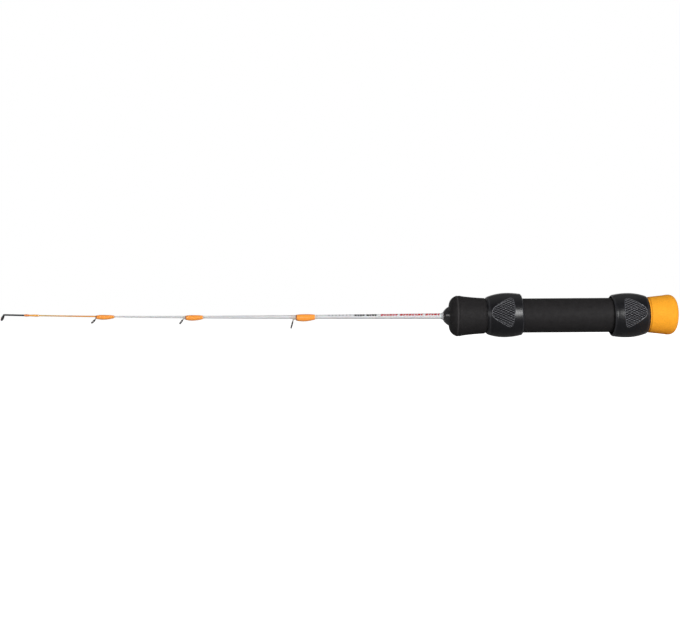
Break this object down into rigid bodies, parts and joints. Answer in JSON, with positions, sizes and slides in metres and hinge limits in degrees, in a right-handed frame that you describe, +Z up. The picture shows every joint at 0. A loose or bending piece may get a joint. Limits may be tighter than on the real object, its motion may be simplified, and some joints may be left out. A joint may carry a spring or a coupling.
{
  "type": "ice fishing rod",
  "caption": "Short tapered rod with hanging line guides, a black foam handle with an orange foam butt, and sliding rings that clamp a reel's foot.",
  "frame": {"origin": "on the handle's axis, midway between the mouths of the two clamp rings, where the reel's foot is held", "axes": "+X along the handle towards the butt, +Y to the right as seen from the butt, +Z up; the line guides hang towards -Z"},
  "size_m": [0.5007, 0.0328, 0.0336],
  "materials": {
    "blank_fibreglass": "gloss",
    "black_metal": "satin",
    "hard_ring": "polished",
    "guide_steel": "satin",
    "thread": "satin",
    "clear_epoxy": "gloss",
    "nose_plastic": "gloss",
    "black_foam": "matte",
    "orange_foam": "matte",
    "ring_plastic": "satin",
    "arbor_plastic": "matte",
    "handle_epoxy": "gloss"
  },
  "bodies": {
    "rod": {"blank": "blank_fibreglass", "butt_grip": "orange_foam", "grip_adhesive": "handle_epoxy", "grip_arbors": "arbor_plastic", "guide_1_finish": "clear_epoxy", "guide_1_frame": "guide_steel", "guide_1_insert": "hard_ring", "guide_1_wrap": "thread", "guide_2_finish": "clear_epoxy", "guide_2_frame": "guide_steel", "guide_2_insert": "hard_ring", "guide_2_wrap": "thread", "guide_3_finish": "clear_epoxy", "guide_3_frame": "guide_steel", "guide_3_insert": "hard_ring", "guide_3_wrap": "thread", "main_grip": "black_foam", "nose_bead": "clear_epoxy", "nose_cone": "nose_plastic", "tip_finish": "clear_epoxy", "tip_top_frame": "black_metal", "tip_top_insert": "hard_ring", "tip_wrap": "thread"},
    "front_ring": {"front_ring": "ring_plastic"},
    "rear_ring": {"rear_ring": "ring_plastic"}
  },
  "joints": [
    {"name": "front_ring_slide", "type": "slide", "parent": "rod", "child": "front_ring", "axis": [1, 0, 0], "range_m": [0, 0.03]},
    {"name": "rear_ring_slide", "type": "slide", "parent": "rod", "child": "rear_ring", "axis": [-1, 0, 0], "range_m": [0, 0.03]}
  ]
}
